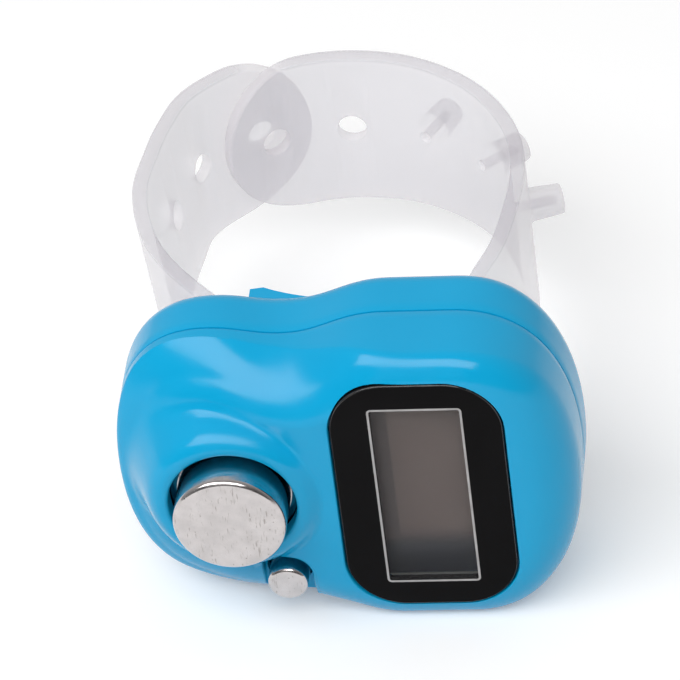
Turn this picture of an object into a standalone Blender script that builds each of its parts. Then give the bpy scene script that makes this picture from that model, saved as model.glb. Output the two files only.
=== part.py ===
# Digital finger counter: a two-shell plastic housing with a display and two sprung chrome
# buttons, worn on a finger by a soft strap that runs under a bridge on its back.
# Metres, +Z up. The counter stands on its long side, with its front towards -Y.
# While it is modelled, x and z are measured from the middle of the display and y from the
# front face, backwards. The last step sets the origin under the middle of the whole object.

import math

import bmesh
import bpy
from mathutils import Vector

mm = 0.001

# Housing, seen from the front
right_end = 12.8 * mm
left_end = 25.7 * mm
display_lobe_half_height = 14.0 * mm
button_lobe_half_height = 12.7 * mm
waist_half_height = 12.0 * mm
button_lobe_top_x = -17.5 * mm
waist_x = -11.5 * mm
flat_right_x = 3.0 * mm
flat_left_x = -2.5 * mm

# Housing, front to back
body_depth = 12.4 * mm
parting_y = 7.4 * mm
parting_gap = 0.3 * mm
wall = 1.3 * mm
lobe_drop = 3.2 * mm
drop_start_x = -7.6 * mm
drop_end_x = -22.0 * mm
front_round_side = 2.1 * mm
front_round_end = 4.6 * mm
back_round_side = 2.3 * mm
back_round_end = 3.0 * mm
lip_height = 1.1 * mm
lip_inset = 0.75 * mm
fit_gap = 0.25 * mm
free_gap = 0.3 * mm

# Printed faceplate and the display behind it
plate_width = 14.4 * mm
plate_height = 23.8 * mm
plate_corner = 4.8 * mm
plate_thickness = 0.7 * mm
plate_sink = 0.15 * mm
plate_ledge = 0.7 * mm
window_width = 9.0 * mm
window_height = 19.6 * mm
glass_width = 9.4 * mm
glass_height = 21.0 * mm
glass_thickness = 0.55 * mm
contact_ledge = 1.4 * mm
film_thickness = 0.2 * mm
film_inset = 0.5 * mm
display_frame_wall = 0.7 * mm
display_frame_web = 0.9 * mm
zebra_width = 1.0 * mm
zebra_length = 19.0 * mm

# Count button and its collar
count_x = -16.0 * mm
count_z = 0.0
count_radius = 4.75 * mm
count_front_y = -3.2 * mm
count_travel = 1.0 * mm
count_edge = 0.35 * mm
count_bore_radius = 5.4 * mm
count_flange_radius = 5.95 * mm
count_flange = 0.8 * mm
count_foot_radius = 2.4 * mm
collar_front_y = -0.7 * mm
collar_rim_radius = 5.8 * mm
collar_base_radius = 7.8 * mm
collar_fall = 3.6 * mm
collar_back_y = 5.0 * mm
collar_wall = 1.7 * mm

# Reset button and its recess
reset_x = -12.4 * mm
reset_z = -9.4 * mm
reset_radius = 1.7 * mm
reset_front_y = 0.0
reset_travel = 0.6 * mm
reset_edge = 0.3 * mm
reset_recess_radius = 2.15 * mm
reset_recess_floor_y = 2.6 * mm
reset_guide = 0.9 * mm
reset_ear_span = 5.0 * mm
reset_ear_width = 1.8 * mm
reset_ear_thickness = 0.5 * mm

# Circuit board and what it carries
board_thickness = 0.8 * mm
board_edge_gap = 0.3 * mm
chip_x = -8.0 * mm
chip_z = -1.0 * mm
chip_radius = 3.2 * mm
chip_height = 1.2 * mm
dome_wall = 0.4 * mm
count_dome_radius = 3.2 * mm
reset_dome_radius = 0.9 * mm
small_part_length = 1.6 * mm
small_part_width = 0.8 * mm
small_part_height = 0.5 * mm
resistor_x = -17.0 * mm
resistor_z = 5.5 * mm
capacitor_x = -17.0 * mm
capacitor_z = 3.2 * mm

# Button cell and its contacts
cell_x = 5.2 * mm
cell_z = 0.0
cell_radius = 5.8 * mm
cell_height = 3.05 * mm
cell_step = 0.5 * mm
contact_sheet = 0.2 * mm
clip_x = 3.6 * mm
clip_width = 3.0 * mm
leaf_length = 8.0 * mm
leaf_width = 3.0 * mm

# Screws and their bosses
case_boss_radius = 1.5 * mm
case_screw_radius = 0.7 * mm
case_head_radius = 1.25 * mm
case_head_height = 1.0 * mm
case_screw_length = 6.2 * mm
case_sleeve_radius = case_head_radius + free_gap + 0.4 * mm
case_screw_places = {"left": (-18.0 * mm, 8.75 * mm), "right": (7.5 * mm, -7.8 * mm)}
board_post_radius = 1.5 * mm
board_screw_radius = 0.55 * mm
board_head_radius = 1.2 * mm
board_head_height = 0.6 * mm
board_screw_length = 3.0 * mm
board_screw_places = {"left": (-9.0 * mm, 8.8 * mm), "right": (8.3 * mm, 8.0 * mm)}
cross_slot_width = 0.35 * mm

# Strap and the bridge that it runs under
strap_width = 16.6 * mm
strap_thickness = 1.4 * mm
bridge_x = -6.4 * mm
bridge_half_length = 8.1 * mm
bridge_low_y = 14.0 * mm
bridge_radius = 17.5 * mm
bridge_bar = 1.1 * mm
bridge_pillar = 1.8 * mm
strap_clearance = 0.3 * mm
bridge_floor = 1.1 * mm
ring_x = -10.2 * mm
ring_y = 33.3 * mm
ring_half_width = 16.4 * mm
ring_half_depth = 17.6 * mm
lap_gap = 0.4 * mm
hole_radius = 1.5 * mm
hole_inset = 4.5 * mm
hole_pitch = 7.2 * mm
holes_on_outer_run = 3
holes_on_inner_run = 2
pegs_on_inner_run = 3
peg_base_radius = 1.5 * mm
peg_tip_radius = 1.35 * mm
peg_length = 3.5 * mm
peg_core_radius = 0.45 * mm
strap_row = 2.0 * mm

sides_large = 48
sides_small = 20

# Where each layer lies, front to back
plate_front_y = plate_sink
plate_back_y = plate_front_y + plate_thickness
ledge_front_y = plate_back_y + fit_gap
ledge_back_y = ledge_front_y + plate_ledge
polariser_y = ledge_back_y + fit_gap
front_glass_y = polariser_y + film_thickness + fit_gap
back_glass_y = front_glass_y + glass_thickness + fit_gap
reflector_y = back_glass_y + glass_thickness + fit_gap
web_front_y = reflector_y + film_thickness + fit_gap
web_back_y = web_front_y + display_frame_web
board_front_y = web_back_y + fit_gap
board_back_y = board_front_y + board_thickness
leaf_y = board_back_y + fit_gap
cell_front_y = leaf_y + contact_sheet + fit_gap
cell_back_y = cell_front_y + cell_height
clip_y = cell_back_y + fit_gap
dome_back_y = board_front_y - fit_gap
front_end_y = parting_y - parting_gap / 2
back_start_y = parting_y + parting_gap / 2
saddle_centre_y = bridge_low_y + bridge_radius
slot_near_radius = bridge_radius + bridge_bar
strap_line_radius = slot_near_radius + strap_clearance + strap_thickness / 2
slot_far_radius = slot_near_radius + strap_thickness + 2 * strap_clearance
strap_slot_half_width = strap_width / 2 + 0.5 * mm


def clear_scene():
    for thing in list(bpy.data.objects):
        bpy.data.objects.remove(thing, do_unlink=True)


clear_scene()
parts = bpy.data.collections.new("digital_finger_counter")
cutters = bpy.data.collections.new("cutters")
bpy.context.scene.collection.children.link(parts)
bpy.context.scene.collection.children.link(cutters)


def make_material(name, colour, roughness, metallic=0.0, alpha=1.0):
    material = bpy.data.materials.new(name)
    material.use_nodes = True
    shader = material.node_tree.nodes["Principled BSDF"]
    shader.inputs["Base Color"].default_value = (*colour, 1.0)
    shader.inputs["Roughness"].default_value = roughness
    shader.inputs["Metallic"].default_value = metallic
    shader.inputs["Alpha"].default_value = alpha
    material.diffuse_color = (*colour, alpha)
    return material


blue_plastic = make_material("blue_plastic", (0.02, 0.38, 0.72), 0.18)
black_acrylic = make_material("black_acrylic", (0.006, 0.006, 0.007), 0.08)
display_film = make_material("display_film", (0.16, 0.14, 0.13), 0.25)
display_glass = make_material("display_glass", (0.55, 0.60, 0.60), 0.05, alpha=0.35)
silver_film = make_material("silver_film", (0.55, 0.56, 0.54), 0.35)
white_plastic = make_material("white_plastic", (0.80, 0.80, 0.78), 0.45)
black_rubber = make_material("black_rubber", (0.03, 0.03, 0.03), 0.75)
green_laminate = make_material("green_laminate", (0.03, 0.20, 0.08), 0.40)
black_resin = make_material("black_resin", (0.01, 0.01, 0.01), 0.30)
chrome_plate = make_material("chrome_plate", (0.80, 0.79, 0.78), 0.07, metallic=1.0)
grey_silicone = make_material("grey_silicone", (0.45, 0.47, 0.48), 0.60)
cell_steel = make_material("cell_steel", (0.72, 0.72, 0.70), 0.22, metallic=1.0)
contact_steel = make_material("contact_steel", (0.70, 0.66, 0.55), 0.28, metallic=1.0)
screw_steel = make_material("screw_steel", (0.45, 0.45, 0.46), 0.32, metallic=1.0)
strap_plastic = make_material("strap_plastic", (0.84, 0.83, 0.84), 0.35, alpha=0.6)


def add_object(name, mesh, collection, material=None):
    thing = bpy.data.objects.new(name, mesh)
    collection.objects.link(thing)
    if material:
        mesh.materials.clear()
        mesh.materials.append(material)
    if collection is cutters:
        thing.hide_render = True
        thing.display_type = "WIRE"
    return thing


def from_bmesh(name, working, collection, material=None):
    bmesh.ops.recalc_face_normals(working, faces=working.faces)
    mesh = bpy.data.meshes.new(name)
    working.to_mesh(mesh)
    working.free()
    return add_object(name, mesh, collection, material)


def box(name, low, high, collection, material=None):
    working = bmesh.new()
    bmesh.ops.create_cube(working, size=1.0)
    for vertex in working.verts:
        for axis in range(3):
            vertex.co[axis] = low[axis] if vertex.co[axis] < 0 else high[axis]
    return from_bmesh(name, working, collection, material)


def prism(name, outline, front_y, back_y, collection, material=None):
    # A flat outline of (x, z) points, extruded along y
    working = bmesh.new()
    corners = [working.verts.new((x, front_y, z)) for x, z in outline]
    face = working.faces.new(corners)
    grown = bmesh.ops.extrude_face_region(working, geom=[face])
    moved = [item for item in grown["geom"] if isinstance(item, bmesh.types.BMVert)]
    bmesh.ops.translate(working, vec=(0, back_y - front_y, 0), verts=moved)
    return from_bmesh(name, working, collection, material)


def rod(name, place, radius, front_y, back_y, collection, material=None, sides=sides_small,
        back_radius=None):
    # A cylinder or cone along y, at the (x, z) place
    far_radius = radius if back_radius is None else back_radius
    working = bmesh.new()
    bmesh.ops.create_cone(working, cap_ends=True, segments=sides, radius1=far_radius,
                          radius2=radius, depth=back_y - front_y)
    for vertex in working.verts:
        across, up, along = vertex.co
        vertex.co = Vector((place[0] + across, (front_y + back_y) / 2 - along, place[1] + up))
    return from_bmesh(name, working, collection, material)


def turned(name, profile, place, collection, material=None, sides=sides_large, closed=False):
    # A profile of (radius, y) points, front to back, turned about an axis along y
    mesh = bpy.data.meshes.new(name)
    points = [(radius, 0.0, -y) for radius, y in profile]
    edges = [(index, index + 1) for index in range(len(points) - 1)]
    if closed:
        edges.append((len(points) - 1, 0))
    mesh.from_pydata(points, edges, [])
    thing = add_object(name, mesh, collection, material)
    screw = thing.modifiers.new("turn", "SCREW")
    screw.axis = "Z"
    screw.steps = sides
    screw.render_steps = sides
    screw.use_merge_vertices = True
    screw.merge_threshold = 0.00001
    thing.rotation_euler = (math.pi / 2, 0, 0)
    thing.location = (place[0], 0, place[1])
    return thing


def change(target, tool, operation):
    modifier = target.modifiers.new(tool.name, "BOOLEAN")
    modifier.operation = operation
    modifier.solver = "EXACT"
    modifier.object = tool


def bake(thing):
    # Replaces an object's mesh by its evaluated one
    bpy.context.view_layer.update()
    graph = bpy.context.evaluated_depsgraph_get()
    mesh = bpy.data.meshes.new_from_object(thing.evaluated_get(graph))
    thing.modifiers.clear()
    thing.data = mesh


def smooth_step(value, start, end):
    share = min(max((value - start) / (end - start), 0.0), 1.0)
    return share * share * (3 - 2 * share)


def arc_point(centre, radius, angle):
    return (centre[0] + radius * math.cos(angle), centre[1] + radius * math.sin(angle))


def rounded_rectangle(width, height, corner, steps=8):
    outline = []
    for quarter in range(4):
        side_x = 1 if quarter in (0, 3) else -1
        side_z = 1 if quarter in (0, 1) else -1
        centre = (side_x * (width / 2 - corner), side_z * (height / 2 - corner))
        for step in range(steps + 1):
            angle = (quarter + step / steps) * math.pi / 2
            outline.append(arc_point(centre, corner, angle))
    return outline


def bezier(start, start_handle, end_handle, end, steps):
    points = []
    for step in range(steps):
        t = step / steps
        u = 1 - t
        points.append(tuple(
            u ** 3 * start[axis] + 3 * u * u * t * start_handle[axis]
            + 3 * u * t * t * end_handle[axis] + t ** 3 * end[axis] for axis in (0, 1)))
    return points


def housing_outline():
    # The front view's upper half, from the right end to the left end, then its mirror image
    top = display_lobe_half_height
    lobe = button_lobe_half_height
    right_pull = 0.62 * top
    left_pull = 0.66 * lobe
    upper = bezier((right_end, 0), (right_end, right_pull), (right_end - 3.4 * mm, top),
                   (flat_right_x, top), 11)
    upper += [(flat_right_x, top)]
    upper += bezier((flat_left_x, top), (flat_left_x - 4.2 * mm, top),
                    (waist_x + 3.6 * mm, waist_half_height), (waist_x, waist_half_height), 7)
    upper += bezier((waist_x, waist_half_height), (waist_x - 2.4 * mm, waist_half_height),
                    (button_lobe_top_x + 2.6 * mm, lobe), (button_lobe_top_x, lobe), 4)
    upper += bezier((button_lobe_top_x, lobe), (button_lobe_top_x - 4.8 * mm, lobe),
                    (-left_end, left_pull), (-left_end, 0), 11)
    upper += [(-left_end, 0)]
    lower = [(x, -z) for x, z in reversed(upper[1:-1])]
    return upper + lower


outline = housing_outline()


def outline_normals(points):
    normals = []
    count = len(points)
    for index in range(count):
        before = points[index - 1]
        after = points[(index + 1) % count]
        along = Vector((after[0] - before[0], after[1] - before[1])).normalized()
        normals.append((along.y, -along.x))
    return normals


normals = outline_normals(outline)


def inset_outline(distance):
    return [(x - nx * distance, z - nz * distance)
            for (x, z), (nx, nz) in zip(outline, normals)]


def lobe_share(x):
    # 0 at the display, 1 at the button end
    return smooth_step(x, drop_start_x, drop_end_x)


def skin_rings(inset, start_y, face_y, softness, steps):
    # A straight wall from start_y, rounded over towards the flat face at face_y
    direction = 1 if face_y > start_y else -1
    round_side, round_end = softness
    rings = []
    for step in range(-1, steps + 1):
        ring = []
        turn = max(step, 0) / steps * math.pi / 2
        for (x, z), (nx, nz) in zip(outline, normals):
            soft = round_side + (round_end - round_side) * max(nx * nx, 0.5 * lobe_share(x))
            soft -= inset
            depth = inset + soft * (1 - math.cos(turn))
            y = start_y if step < 0 else face_y - direction * soft * (1 - math.sin(turn))
            ring.append((x - nx * depth, y, z - nz * depth))
        rings.append(ring)
    return rings


def rim_ring(inset, y):
    return [(x, y, z) for x, z in inset_outline(inset)]


def loft(rings):
    # Joins rings of points one after another, and closes the first and the last
    working = bmesh.new()
    rows = [[working.verts.new(point) for point in ring] for ring in rings]
    count = len(outline)
    for near, far in zip(rows, rows[1:]):
        for index in range(count):
            after = (index + 1) % count
            working.faces.new((near[index], near[after], far[after], far[index]))
    working.faces.new(rows[0])
    working.faces.new(rows[-1])
    return working


def front_surface_y(x):
    return lobe_drop * lobe_share(x)


def lower_button_lobe(working):
    # Sinks the front towards the button end, and leaves the parting plane where it is
    slices = 10
    for index in range(slices + 1):
        x = drop_start_x + (drop_end_x - drop_start_x) * index / slices
        bmesh.ops.bisect_plane(working, geom=working.verts[:] + working.edges[:] + working.faces[:],
                               plane_co=(x, 0, 0), plane_no=(1, 0, 0))
    for vertex in working.verts:
        height = front_end_y - vertex.co.y
        if height > 0:
            share = min(height / (front_end_y - wall), 1.0)
            vertex.co.y += front_surface_y(vertex.co.x) * share


def collar_profile():
    # A rounded ring with a stepped bore: the narrow front part keeps the button's flange in
    flange_room = count_flange_radius + free_gap
    spread = collar_base_radius - collar_rim_radius
    profile = [(count_bore_radius, collar_front_y)]
    steps = 6
    for step in range(steps + 1):
        turn = step / steps * math.pi / 2
        profile.append((collar_rim_radius + spread * math.sin(turn),
                        collar_front_y + collar_fall * (1 - math.cos(turn))))
    profile += [
        (collar_base_radius, collar_back_y),
        (flange_room, collar_back_y),
        (flange_room, collar_front_y + collar_wall),
        (count_bore_radius, collar_front_y + collar_wall),
    ]
    return profile


# Front shell
def make_front_shell():
    softness = (front_round_side, front_round_end)
    lip_end_y = front_end_y + lip_height
    outside = skin_rings(0, front_end_y, 0.0, softness, 6)
    inside = skin_rings(wall, lip_end_y, wall, softness, 3)
    rim = [rim_ring(lip_inset, lip_end_y), rim_ring(lip_inset, front_end_y)]
    working = loft(inside[::-1] + rim + outside)
    lower_button_lobe(working)
    bmesh.ops.triangulate(working, faces=working.faces[:])
    shell = from_bmesh("front_shell", working, parts, blue_plastic)

    carrier = rounded_rectangle(plate_width + 1.6 * mm, plate_height + 1.4 * mm, plate_corner)
    change(shell, prism("plate_carrier", carrier, plate_back_y - fit_gap, ledge_back_y, cutters),
           "UNION")
    count_place = (count_x, count_z)
    opening_radius = (count_flange_radius + collar_base_radius) / 2
    change(shell, rod("collar_opening", count_place, opening_radius, -mm, collar_back_y + mm,
                      cutters, sides=sides_large), "DIFFERENCE")
    change(shell, turned("collar", collar_profile(), count_place, cutters, closed=True), "UNION")
    guide_back_y = reset_recess_floor_y + reset_guide
    guide_half = reset_recess_radius + 0.7 * mm
    guide = box("reset_guide",
                (reset_x - guide_half, 0, 0.8 * wall - waist_half_height),
                (reset_x + guide_half, guide_back_y, reset_z + guide_half), cutters)
    for vertex in guide.data.vertices:
        if vertex.co.y == 0:
            vertex.co.y = front_surface_y(vertex.co.x) + wall / 2
    change(shell, guide, "UNION")
    for side, place in case_screw_places.items():
        start_y = front_surface_y(place[0]) + wall / 2
        change(shell, rod("case_boss_" + side, place, case_boss_radius, start_y, front_end_y,
                          cutters), "UNION")
    for side, place in board_screw_places.items():
        start_y = front_surface_y(place[0]) + wall / 2
        change(shell, rod("board_post_" + side, place, board_post_radius, start_y,
                          board_front_y - fit_gap, cutters), "UNION")

    pocket = rounded_rectangle(plate_width + 2 * fit_gap, plate_height + 2 * fit_gap,
                               plate_corner + fit_gap)
    change(shell, prism("plate_pocket", pocket, -2 * mm, ledge_front_y, cutters), "DIFFERENCE")
    window = rounded_rectangle(window_width, window_height, 0.5 * mm, 3)
    change(shell, prism("display_window", window, -2 * mm, ledge_back_y + mm, cutters),
           "DIFFERENCE")
    reset_place = (reset_x, reset_z)
    recess = [arc_point(reset_place, reset_recess_radius, step / 12 * math.pi)
              for step in range(13)]
    recess += [(reset_x - reset_recess_radius, reset_z - 4 * mm),
               (reset_x + reset_recess_radius, reset_z - 4 * mm)]
    change(shell, prism("reset_recess", recess, -2 * mm, reset_recess_floor_y, cutters),
           "DIFFERENCE")
    change(shell, rod("reset_bore", reset_place, reset_radius + fit_gap, -2 * mm,
                      reset_ear_back_y() + reset_travel + free_gap, cutters, sides=28),
           "DIFFERENCE")
    for side, place in case_screw_places.items():
        change(shell, rod("case_pilot_" + side, place, case_screw_radius + fit_gap,
                          case_tip_y() - free_gap, body_depth, cutters), "DIFFERENCE")
    for side, place in board_screw_places.items():
        change(shell, rod("board_pilot_" + side, place, board_screw_radius + fit_gap,
                          board_tip_y() - free_gap, body_depth, cutters), "DIFFERENCE")
    return shell


def reset_ear_front_y():
    return reset_recess_floor_y + reset_guide + free_gap


def reset_ear_back_y():
    return reset_ear_front_y() + reset_ear_thickness


def case_seat_y():
    return body_depth - case_head_height - fit_gap


def case_tip_y():
    return case_seat_y() - case_screw_length


def board_seat_y():
    return board_back_y + fit_gap


def board_tip_y():
    return board_seat_y() - board_screw_length


# Back shell, with the saddle-shaped bridge over the strap's channel
def arch_band(name, near_radius, far_radius, half_length, half_width):
    # A band between two arcs about the saddle's centre, extruded along z
    steps = 12
    working = bmesh.new()
    points = []
    for radius, order in ((near_radius, range(steps + 1)), (far_radius, range(steps, -1, -1))):
        for step in order:
            x = half_length * (2 * step / steps - 1)
            y = saddle_centre_y - math.sqrt(radius * radius - x * x)
            points.append(working.verts.new((bridge_x + x, y, -half_width)))
    face = working.faces.new(points)
    grown = bmesh.ops.extrude_face_region(working, geom=[face])
    moved = [item for item in grown["geom"] if isinstance(item, bmesh.types.BMVert)]
    bmesh.ops.translate(working, vec=(0, 0, 2 * half_width), verts=moved)
    return from_bmesh(name, working, cutters)


def make_back_shell():
    softness = (back_round_side, back_round_end)
    rebate_end_y = back_start_y + lip_height + free_gap
    outside = skin_rings(0, back_start_y, body_depth, softness, 5)
    inside = skin_rings(wall, rebate_end_y, body_depth - wall, softness, 3)
    rim = [rim_ring(lip_inset - free_gap, rebate_end_y),
           rim_ring(lip_inset - free_gap, back_start_y)]
    working = loft(inside[::-1] + rim + outside)
    bmesh.ops.triangulate(working, faces=working.faces[:])
    shell = from_bmesh("back_shell", working, parts, blue_plastic)
    change(shell, arch_band("bridge_block", bridge_radius, slot_far_radius + bridge_floor,
                            bridge_half_length, strap_slot_half_width + bridge_pillar), "UNION")
    for side, place in case_screw_places.items():
        change(shell, rod("case_sleeve_" + side, place, case_sleeve_radius, back_start_y,
                          body_depth - wall / 2, cutters), "UNION")
    change(shell, arch_band("strap_slot", slot_near_radius, slot_far_radius,
                            bridge_half_length + 3 * mm, strap_slot_half_width), "DIFFERENCE")
    for side, place in case_screw_places.items():
        change(shell, rod("case_hole_" + side, place, case_screw_radius + free_gap,
                          parting_y - mm, body_depth + mm, cutters), "DIFFERENCE")
        change(shell, rod("head_recess_" + side, place, case_head_radius + free_gap,
                          case_seat_y() - fit_gap, body_depth + mm, cutters), "DIFFERENCE")
    return shell


# Faceplate and display
def make_display():
    prism("faceplate", rounded_rectangle(plate_width, plate_height, plate_corner),
          plate_front_y, plate_back_y, parts, black_acrylic)
    film_width = glass_width - 2 * film_inset
    film_height = glass_height - 2 * film_inset
    prism("lcd_polariser", rounded_rectangle(film_width, film_height, 0.2 * mm, 2),
          polariser_y, polariser_y + film_thickness, parts, display_film)
    half = glass_width / 2
    tall = glass_height / 2
    box("lcd_front_glass", (-half, front_glass_y, -tall),
        (half, front_glass_y + glass_thickness, tall), parts, display_glass)
    box("lcd_back_glass", (-half + contact_ledge, back_glass_y, -tall),
        (half, back_glass_y + glass_thickness, tall), parts, display_glass)
    box("lcd_reflector", (-half + contact_ledge + film_inset, reflector_y, -tall + film_inset),
        (half - film_inset, reflector_y + film_thickness, tall - film_inset), parts, silver_film)

    outer_width = glass_width + 2 * (fit_gap + display_frame_wall)
    outer_height = glass_height + 2 * (fit_gap + display_frame_wall)
    frame = prism("lcd_frame", rounded_rectangle(outer_width, outer_height, 0.8 * mm, 3),
                  polariser_y, web_back_y, parts, white_plastic)
    pocket = rounded_rectangle(glass_width + 2 * fit_gap, glass_height + 2 * fit_gap,
                               0.3 * mm, 2)
    change(frame, prism("glass_pocket", pocket, polariser_y - mm, web_front_y, cutters),
           "DIFFERENCE")
    zebra_low_x = -half + 0.1 * mm
    zebra_high_x = zebra_low_x + zebra_width
    zebra_front_y = front_glass_y + glass_thickness + fit_gap
    change(frame, box("zebra_slot",
                      (zebra_low_x - fit_gap, web_front_y - mm, -zebra_length / 2 - fit_gap),
                      (zebra_high_x + fit_gap, web_back_y + mm, zebra_length / 2 + fit_gap),
                      cutters), "DIFFERENCE")
    box("zebra_strip", (zebra_low_x, zebra_front_y, -zebra_length / 2),
        (zebra_high_x, board_front_y - fit_gap, zebra_length / 2), parts, black_rubber)


# Circuit board and the parts on it
def make_board():
    edge = inset_outline(wall + board_edge_gap)
    board = prism("circuit_board", edge, board_front_y, board_back_y, parts, green_laminate)
    for side, place in case_screw_places.items():
        change(board, rod("board_notch_" + side, place, case_boss_radius + free_gap,
                          board_front_y - mm, board_back_y + mm, cutters), "DIFFERENCE")
    for side, place in board_screw_places.items():
        change(board, rod("board_hole_" + side, place, board_screw_radius + fit_gap,
                          board_front_y - mm, board_back_y + mm, cutters), "DIFFERENCE")
    blob_y = board_back_y + fit_gap
    blob = [(0, -blob_y - chip_height)]
    profile = []
    steps = 6
    for step in range(steps + 1):
        angle = step / steps * math.pi / 2
        profile.append((chip_radius * math.cos(angle), blob_y + chip_height * math.sin(angle)))
    profile[-1] = (0, blob_y + chip_height)
    turned("chip_blob", [(0, blob_y)] + profile, (chip_x, chip_z), parts, black_resin, 24)
    for name, x, z in (("oscillator_resistor", resistor_x, resistor_z),
                       ("supply_capacitor", capacitor_x, capacitor_z)):
        box(name, (x - small_part_length / 2, blob_y, z - small_part_width / 2),
            (x + small_part_length / 2, blob_y + small_part_height, z + small_part_width / 2),
            parts, black_resin if "resistor" in name else contact_steel)


def make_dome(name, place, radius, top_radius, front_y):
    # A rubber cup under a button, open towards the board
    profile = [(0, front_y), (top_radius, front_y), (radius, dome_back_y - dome_wall),
               (radius, dome_back_y), (radius - dome_wall, dome_back_y),
               (top_radius - dome_wall / 2, front_y + dome_wall), (0, front_y + dome_wall)]
    turned(name, profile, place, parts, grey_silicone, 24)


# Buttons, each on its own slide axis
def make_count_button():
    flange_front_y = collar_front_y + collar_wall + free_gap
    flange_back_y = flange_front_y + count_flange
    foot_y = flange_back_y + 1.5 * mm
    profile = [
        (0, count_front_y),
        (count_radius - count_edge, count_front_y),
        (count_radius, count_front_y + count_edge),
        (count_radius, flange_front_y),
        (count_flange_radius, flange_front_y),
        (count_flange_radius, flange_back_y),
        (count_foot_radius, flange_back_y),
        (count_foot_radius, foot_y),
        (0, foot_y),
    ]
    turned("count_button", profile, (count_x, count_z), parts, chrome_plate)
    make_dome("count_dome", (count_x, count_z), count_dome_radius, count_foot_radius - 0.4 * mm,
              foot_y + fit_gap)


def make_reset_button():
    profile = [
        (0, reset_front_y),
        (reset_radius - reset_edge, reset_front_y),
        (reset_radius - 0.3 * reset_edge, reset_front_y + 0.3 * reset_edge),
        (reset_radius, reset_front_y + reset_edge),
        (reset_radius, reset_ear_back_y()),
        (0, reset_ear_back_y()),
    ]
    button = turned("reset_button", profile, (reset_x, reset_z), parts, chrome_plate, 28)
    half_span = reset_ear_span / 2
    half_width = reset_ear_width / 2
    change(button, box("reset_ears",
                       (reset_x - half_span, reset_ear_front_y(), reset_z - half_width),
                       (reset_x + half_span, reset_ear_back_y() - 0.1 * mm, reset_z + half_width),
                       cutters), "UNION")
    make_dome("reset_dome", (reset_x, reset_z), reset_dome_radius, 0.6 * reset_dome_radius,
              reset_ear_back_y() + fit_gap)


# Button cell and its two contacts
def make_battery():
    profile = [
        (0, cell_front_y),
        (cell_radius - cell_step, cell_front_y),
        (cell_radius - cell_step, cell_front_y + cell_step),
        (cell_radius, cell_front_y + cell_step),
        (cell_radius, cell_back_y - 0.2 * mm),
        (cell_radius - 0.2 * mm, cell_back_y),
        (0, cell_back_y),
    ]
    turned("button_cell", profile, (cell_x, cell_z), parts, cell_steel)
    box("battery_contact", (cell_x - leaf_length / 2, leaf_y, cell_z - leaf_width / 2),
        (cell_x + leaf_length / 2, leaf_y + contact_sheet, cell_z + leaf_width / 2), parts,
        contact_steel)
    reach = cell_radius + free_gap + contact_sheet
    clip = box("battery_clip", (clip_x - clip_width / 2, leaf_y, cell_z - reach),
               (clip_x + clip_width / 2, clip_y + contact_sheet, cell_z + reach), parts,
               contact_steel)
    inside = reach - contact_sheet
    change(clip, box("clip_inside", (clip_x - clip_width, leaf_y - mm, cell_z - inside),
                     (clip_x + clip_width, clip_y, cell_z + inside), cutters), "DIFFERENCE")


# Screws, heads towards the back
def make_screw(name, place, shaft_radius, head_radius, head_height, seat_y, length):
    profile = [
        (0, seat_y - length),
        (shaft_radius * 0.4, seat_y - length),
        (shaft_radius, seat_y - length + shaft_radius),
        (shaft_radius, seat_y),
        (head_radius, seat_y),
        (head_radius, seat_y + head_height * 0.6),
        (head_radius * 0.75, seat_y + head_height),
        (0, seat_y + head_height),
    ]
    screw = turned(name, profile, place, parts, screw_steel, sides_small)
    head_back_y = seat_y + head_height
    arm = head_radius * 0.6
    half = cross_slot_width / 2
    for label, reach_x, reach_z in (("across", arm, half), ("upright", half, arm)):
        slot = box(name + "_" + label,
                   (place[0] - reach_x, head_back_y - head_height * 0.5, place[1] - reach_z),
                   (place[0] + reach_x, head_back_y + mm, place[1] + reach_z), cutters)
        change(screw, slot, "DIFFERENCE")


def make_screws():
    for side, place in case_screw_places.items():
        make_screw("case_screw_" + side, place, case_screw_radius, case_head_radius,
                   case_head_height, case_seat_y(), case_screw_length)
    for side, place in board_screw_places.items():
        make_screw("board_screw_" + side, place, board_screw_radius, board_head_radius,
                   board_head_height, board_seat_y(), board_screw_length)


# Strap: a flat band with holes and pegs, then bent along its route
def ring_point(degrees, layer):
    # On the ring's oval, a whole strap thickness further out where it laps over itself
    angle = math.radians(degrees)
    out = layer * (strap_thickness + lap_gap)
    return Vector((ring_x + (ring_half_width + out) * math.cos(angle),
                   ring_y + (ring_half_depth + out) * math.sin(angle)))


def saddle_point(offset):
    return Vector((bridge_x + offset,
                   saddle_centre_y - math.sqrt(strap_line_radius ** 2 - offset ** 2)))


def strap_route():
    # From the outer run's tip, round by the left, under the bridge, and back on the right
    outer_run = [ring_point(101, 1), ring_point(114, 1), ring_point(127, 1),
                 ring_point(142, 0.7), ring_point(160, 0.1), ring_point(182, 0),
                 ring_point(207, 0), ring_point(230, 0.2)]
    under = [saddle_point(offset * bridge_half_length / 4) for offset in (-4, -2, 0, 2, 4)]
    right_mouth = under[-1]
    inner_run = [right_mouth + Vector((1.5 * mm, 1.7 * mm)),
                 right_mouth + Vector((2.0 * mm, 5.6 * mm)),
                 right_mouth + Vector((3.9 * mm, 11.0 * mm)),
                 ring_point(0, 0)]
    inner_run += [ring_point(degrees, 0) for degrees in (22, 45, 68, 90, 110, 126)]
    return outer_run + under + inner_run


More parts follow.
